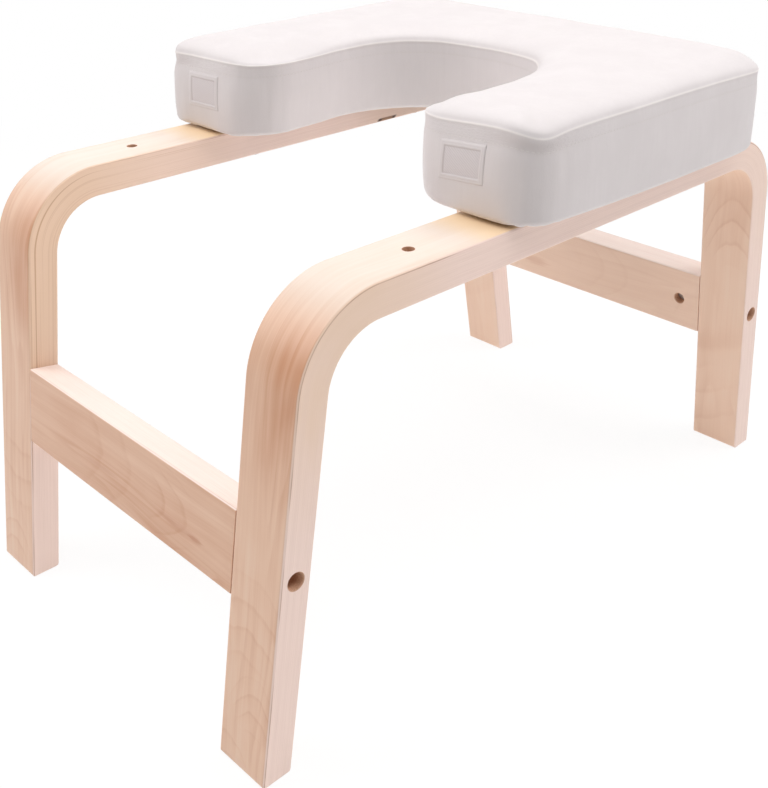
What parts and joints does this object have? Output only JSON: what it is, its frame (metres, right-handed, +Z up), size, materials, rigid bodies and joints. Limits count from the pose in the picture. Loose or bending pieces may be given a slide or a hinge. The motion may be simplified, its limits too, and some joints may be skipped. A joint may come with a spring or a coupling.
{
  "type": "yoga headstand stool",
  "caption": "Headstand stool with an off-white horseshoe cushion open to the front, on bent birch plywood side frames joined by cross rails.",
  "frame": {"origin": "on the floor under the middle of the stool", "axes": "+X to the stool's right as seen from the open end of the cushion, +Y from the open end to the closed end, +Z up"},
  "size_m": [0.416, 0.6484, 0.4183],
  "materials": {
    "birch": "clear matt lacquer",
    "board_ply": "raw plywood",
    "dowel_wood": "raw beech",
    "steel": "zinc plated",
    "foam": "open-cell foam",
    "cover": "soft synthetic leather, fine grain",
    "patch": "soft synthetic leather, sewn on",
    "under_cloth": "non-woven cloth"
  },
  "bodies": {
    "root": {"left_side_frame": "birch", "right_side_frame": "birch", "front_cross_rail": "birch", "rear_cross_rail": "birch", "frame_bolt_front_left": "steel", "frame_bolt_front_right": "steel", "frame_bolt_rear_left": "steel", "frame_bolt_rear_right": "steel", "barrel_nut_front_left": "steel", "barrel_nut_front_right": "steel", "barrel_nut_rear_left": "steel", "barrel_nut_rear_right": "steel", "dowel_front_left_lower": "dowel_wood", "dowel_front_left_upper": "dowel_wood", "dowel_front_right_lower": "dowel_wood", "dowel_front_right_upper": "dowel_wood", "dowel_rear_left_lower": "dowel_wood", "dowel_rear_left_upper": "dowel_wood", "dowel_rear_right_lower": "dowel_wood", "dowel_rear_right_upper": "dowel_wood", "cushion_board": "board_ply", "cushion_foam": "foam", "cushion_cover": "cover", "under_cloth": "under_cloth", "patch_left": "patch", "patch_right": "patch", "seat_bolt_front_left": "steel", "seat_bolt_front_right": "steel", "seat_bolt_rear_left": "steel", "seat_bolt_rear_right": "steel", "washer_front_left": "steel", "washer_front_right": "steel", "washer_rear_left": "steel", "washer_rear_right": "steel", "tee_nut_front_left": "steel", "tee_nut_front_right": "steel", "tee_nut_rear_left": "steel", "tee_nut_rear_right": "steel"}
  },
  "joints": []
}
